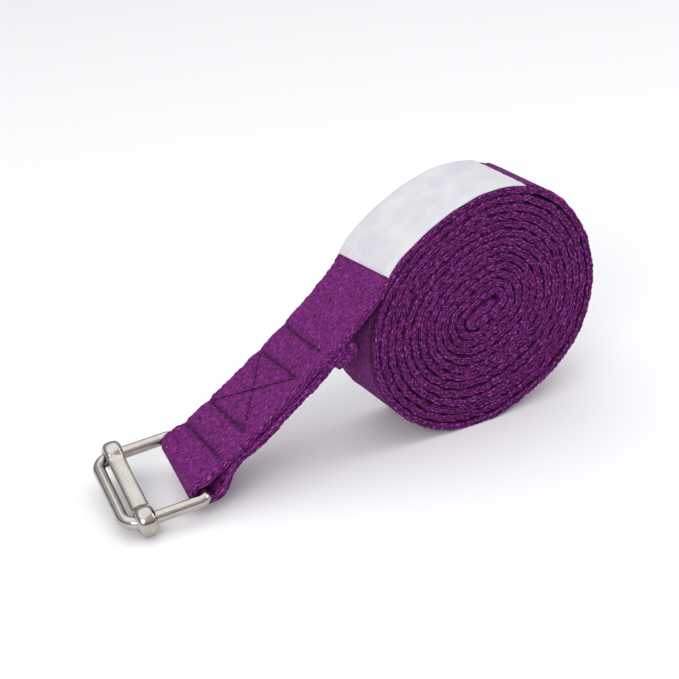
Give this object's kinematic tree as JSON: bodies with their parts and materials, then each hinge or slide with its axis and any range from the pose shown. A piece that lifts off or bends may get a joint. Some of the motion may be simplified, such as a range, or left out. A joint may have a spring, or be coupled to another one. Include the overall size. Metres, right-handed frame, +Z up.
{
  "type": "stretching strap",
  "caption": "Rolled-up flat cotton exercise strap with a metal ring buckle and a cross bar that slides along the ring to grip the webbing.",
  "frame": {"origin": "middle of the resting surface under the whole object, at floor level", "axes": "+Z up; the tail and buckle point along -X from the roll; the roll's axis is along Y"},
  "size_m": [0.2198, 0.0566, 0.1019],
  "materials": {
    "purple_cotton": "melange woven cotton webbing, matt, fine lengthwise ribs",
    "maroon_thread": "polished sewing thread",
    "white_label": "smooth woven ribbon",
    "white_thread": "sewing thread",
    "nickel_plate": "polished nickel plate, slightly warm"
  },
  "bodies": {
    "strap": {"webbing": "purple_cotton", "label": "white_label", "label_thread_roll_end": "white_thread", "label_thread_tail_end": "white_thread", "thread_row_1": "maroon_thread", "thread_row_2": "maroon_thread", "thread_row_3": "maroon_thread", "thread_row_4": "maroon_thread", "thread_cross_over": "maroon_thread", "thread_cross_under": "maroon_thread", "thread_core_hem": "maroon_thread"},
    "ring": {"buckle_frame": "nickel_plate"},
    "slider": {"slide_bar": "nickel_plate"}
  },
  "joints": [
    {"name": "buckle_swivel", "type": "hinge", "parent": "strap", "child": "ring", "pos_m": [-0.07347, -0.00342, 0.012], "axis": [0.1243, 0.9835, 0.1315], "range_deg": [-110, 80]},
    {"name": "bar_slide", "type": "slide", "parent": "ring", "child": "slider", "axis": [0.9848, -0.1384, 0.1045], "range_m": [0, 0.0135]}
  ]
}
